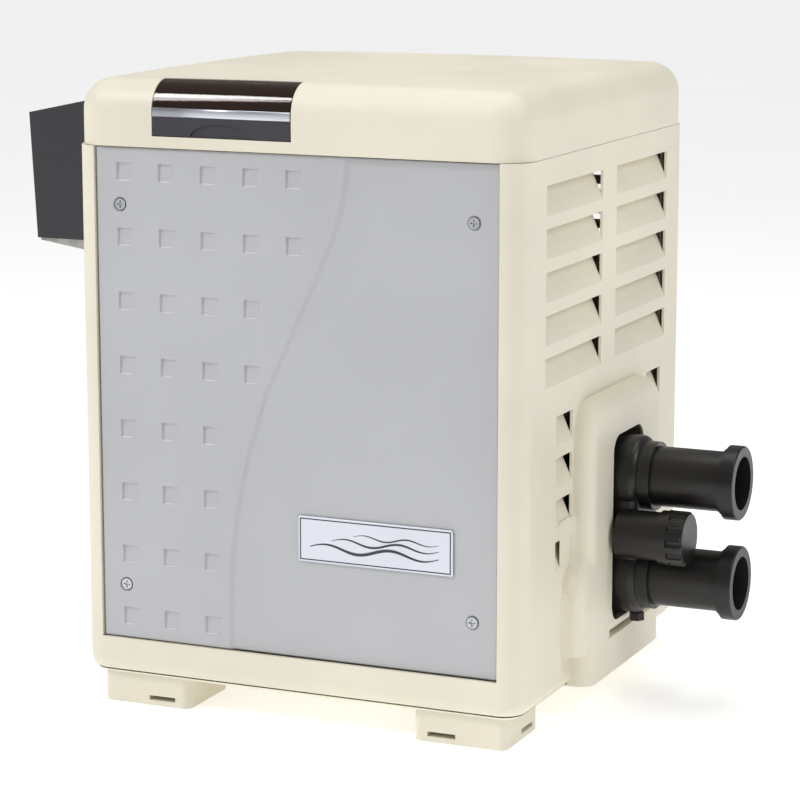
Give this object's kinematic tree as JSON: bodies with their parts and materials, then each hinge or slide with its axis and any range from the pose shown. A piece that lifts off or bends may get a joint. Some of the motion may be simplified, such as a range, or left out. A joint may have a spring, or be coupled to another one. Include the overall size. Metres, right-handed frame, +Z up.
{
  "type": "pool and spa heater",
  "caption": "Free-standing gas pool and spa heater in a square cabinet, with water ports, side exhaust hood, lift-off lid and a flap over its controls.",
  "frame": {"origin": "on the floor, under the middle of the cabinet and of the whole object", "axes": "+X towards the water ports, +Y towards the back, +Z up; the door faces -Y"},
  "size_m": [0.8488, 0.534, 0.711],
  "materials": {
    "almond_plastic": "fine textured moulding",
    "grey_paint": "satin paint",
    "nameplate": "satin plate with a printed border",
    "charcoal_paint": "satin powder coat",
    "galvanised": "galvanised sheet",
    "black_plastic": "glass-filled moulding",
    "smoked_window": "smoked clear plastic",
    "dark_trim": "satin",
    "steel": "bright zinc",
    "rubber": "matt",
    "copper": "drawn copper tube",
    "brass": "turned",
    "stainless": "heat tinted",
    "cast_aluminium": "as cast",
    "board": "solder mask",
    "display": "amber display",
    "led": "diffused lens",
    "button_white": "satin",
    "button_red": "satin",
    "knob_red": "satin",
    "electrics_grey": "moulding"
  },
  "bodies": {
    "cabinet": {"base_pan": "almond_plastic", "right_side_panel": "almond_plastic", "left_side_panel": "almond_plastic", "rear_panel": "almond_plastic", "front_frame": "galvanised", "exhaust_hood": "charcoal_paint", "exhaust_grille": "charcoal_paint", "exhaust_bottom_pan": "galvanised", "hood_screws": "steel", "tube_sheet": "stainless", "manifold_gasket": "rubber", "manifold_body": "black_plastic", "inlet_port": "black_plastic", "outlet_port": "black_plastic", "governor_cap": "black_plastic", "bypass_spring": "stainless", "drain_plug": "black_plastic", "pressure_switch": "electrics_grey", "water_sensor": "brass", "combustion_drum": "galvanised", "copper_coil": "copper", "chamber_plate": "stainless", "hex_bolts": "steel", "burner": "stainless", "igniter": "electrics_grey", "flue_duct": "stainless", "blower_housing": "cast_aluminium", "blower_motor": "black_plastic", "air_gas_mixer": "cast_aluminium", "gas_valve": "cast_aluminium", "gas_inlet_pipe": "steel", "gas_line": "steel", "component_bracket": "galvanised", "transformer": "electrics_grey", "ignition_module": "electrics_grey", "fuse_board": "board", "junction_box": "galvanised", "wall_bushings": "rubber"},
    "door": {"service_door": "grey_paint", "nameplate": "nameplate", "door_screws": "steel"},
    "lid_assembly": {"lid": "almond_plastic", "lid_screws": "steel", "flap_hinge_pin": "steel", "control_bezel": "dark_trim", "display": "display", "status_leds": "led", "control_board": "board"},
    "flap": {"window_flap": "smoked_window", "flap_grip": "dark_trim"},
    "pool_key": {"pool_button": "button_white"},
    "spa_key": {"spa_button": "button_white"},
    "off_key": {"off_button": "button_red"},
    "down_key": {"temp_down_button": "button_white"},
    "up_key": {"temp_up_button": "button_white"},
    "rotor": {"blower_impeller": "cast_aluminium", "motor_shaft": "steel"},
    "gas_knob": {"gas_valve_knob": "knob_red"},
    "bypass": {"bypass_valve": "brass"},
    "governor": {"governor_piston": "brass"}
  },
  "joints": [
    {"name": "door_pull", "type": "slide", "parent": "cabinet", "child": "door", "axis": [0, -1, 0], "range_m": [0, 0.25]},
    {"name": "lid_lift", "type": "slide", "parent": "cabinet", "child": "lid_assembly", "axis": [0, 0, 1], "range_m": [0, 0.15]},
    {"name": "flap_hinge", "type": "hinge", "parent": "lid_assembly", "child": "flap", "pos_m": [-0.083, -0.2366, 0.7056], "axis": [-1, 0, 0], "range_deg": [0, 88]},
    {"name": "pool_press", "type": "slide", "parent": "lid_assembly", "child": "pool_key", "axis": [0, 0.9231, -0.3846], "range_m": [0, 0.0012], "stiffness_N_per_m": 600},
    {"name": "spa_press", "type": "slide", "parent": "lid_assembly", "child": "spa_key", "axis": [0, 0.9231, -0.3846], "range_m": [0, 0.0012], "stiffness_N_per_m": 600},
    {"name": "off_press", "type": "slide", "parent": "lid_assembly", "child": "off_key", "axis": [0, 0.9231, -0.3846], "range_m": [0, 0.0012], "stiffness_N_per_m": 600},
    {"name": "down_press", "type": "slide", "parent": "lid_assembly", "child": "down_key", "axis": [0, 0.9231, -0.3846], "range_m": [0, 0.0012], "stiffness_N_per_m": 600},
    {"name": "up_press", "type": "slide", "parent": "lid_assembly", "child": "up_key", "axis": [0, 0.9231, -0.3846], "range_m": [0, 0.0012], "stiffness_N_per_m": 600},
    {"name": "blower_spin", "type": "hinge", "parent": "cabinet", "child": "rotor", "pos_m": [-0.02, 0.03, 0.46], "axis": [0, 0, 1], "continuous": true},
    {"name": "gas_knob_turn", "type": "hinge", "parent": "cabinet", "child": "gas_knob", "pos_m": [-0.168, -0.216, 0.215], "axis": [0, -1, 0], "range_deg": [0, 90]},
    {"name": "bypass_lift", "type": "slide", "parent": "cabinet", "child": "bypass", "axis": [0, 0, 1], "range_m": [0, 0.008], "stiffness_N_per_m": 900, "deforming": ["bypass_spring"]},
    {"name": "governor_slide", "type": "slide", "parent": "cabinet", "child": "governor", "axis": [1, 0, 0], "range_m": [0, 0.006], "stiffness_N_per_m": 1200}
  ]
}
